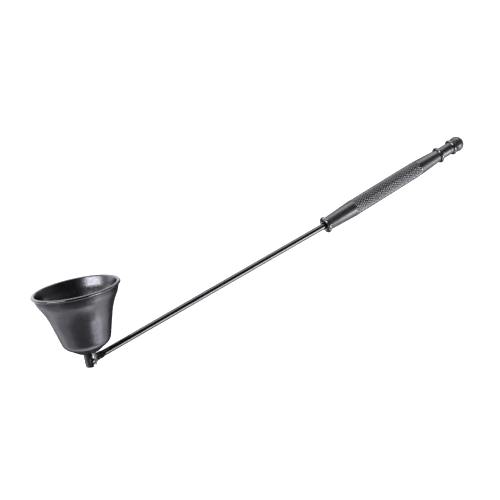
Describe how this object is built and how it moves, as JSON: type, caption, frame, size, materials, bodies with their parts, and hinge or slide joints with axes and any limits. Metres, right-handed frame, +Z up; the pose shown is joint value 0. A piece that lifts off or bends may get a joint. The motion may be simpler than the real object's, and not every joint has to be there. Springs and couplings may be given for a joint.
{
  "type": "candle snuffer",
  "caption": "Candle snuffer: a small flared bell pinned by a slotted boss to a long thin rod with a diamond-knurled handle, beads and a ball end; the bell tilts on its pin.",
  "frame": {"origin": "Centre of the bottom of the whole snuffer's box, on the floor that it lies on.", "axes": "+Z up from the floor. +X along the rod from the hinge to the ball, as seen from above. The bell's mouth looks towards +Y and a little up."},
  "size_m": [0.2361, 0.0434, 0.0376],
  "materials": {
    "bell_coating": "satin black coating on thin steel",
    "hardware_coating": "satin black steel",
    "rod_coating": "gloss black coating on steel rod",
    "handle_finish": "satin black anodised, turned and knurled"
  },
  "bodies": {
    "wand": {"snuffer_rod": "rod_coating", "front_ferrule": "handle_finish", "knurled_grip": "handle_finish", "rear_ring": "handle_finish", "end_ring": "handle_finish", "ball_finial": "handle_finish"},
    "bell": {"bell_cup": "bell_coating", "clevis_boss": "hardware_coating", "hinge_pin": "hardware_coating", "crown_washer": "hardware_coating", "crown_screw": "hardware_coating"}
  },
  "joints": [
    {"name": "bell_tilt", "type": "hinge", "parent": "wand", "child": "bell", "pos_m": [-0.10624, -0.01745, 0.00689], "axis": [0.0157, -0.3693, 0.9292], "range_deg": [-5, 211]}
  ]
}
